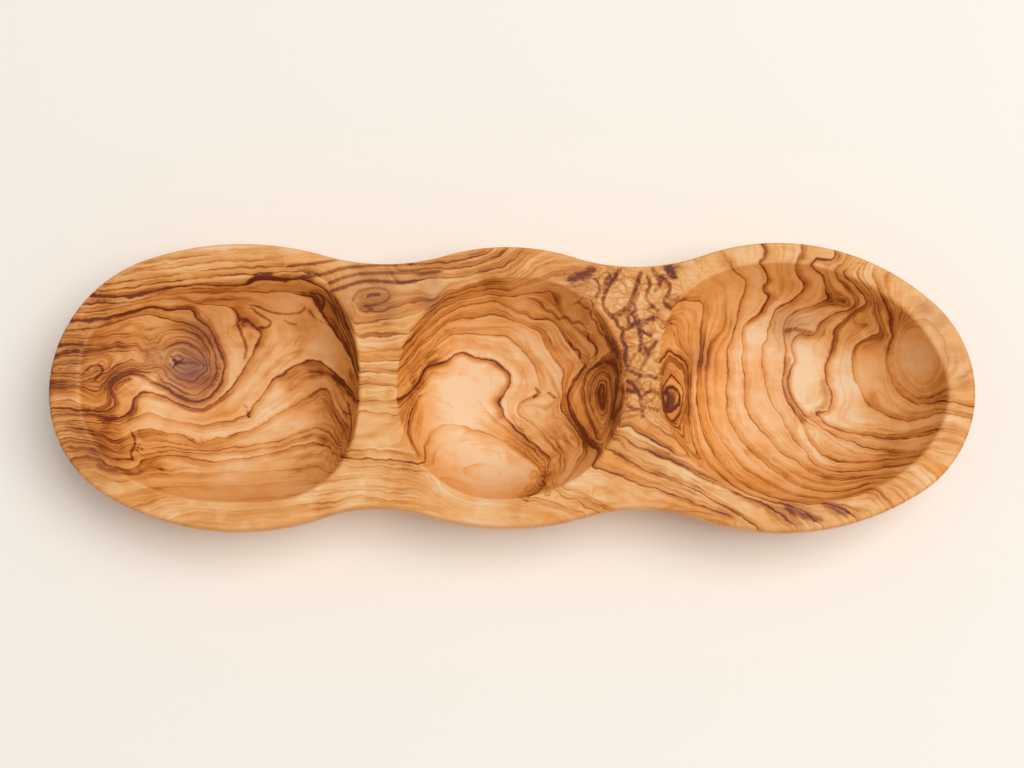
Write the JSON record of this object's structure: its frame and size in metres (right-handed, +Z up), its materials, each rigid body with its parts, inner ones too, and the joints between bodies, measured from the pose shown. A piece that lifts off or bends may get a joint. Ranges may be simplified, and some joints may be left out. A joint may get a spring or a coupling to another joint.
{
  "type": "olive dish",
  "caption": "Long, low wooden serving dish with wavy sides, a flat rim and a row of rounded hollows carved into its top, for olives, pits and dips at the table.",
  "frame": {"origin": "on the table, under the middle of the dish's length and width", "axes": "+X along the dish towards the egg-shaped hollow, +Y towards the back as seen in the picture, +Z up"},
  "size_m": [0.3, 0.0952, 0.032],
  "materials": {
    "olive_wood": "satin oiled"
  },
  "bodies": {
    "root": {"dish_body": "olive_wood"}
  },
  "joints": []
}
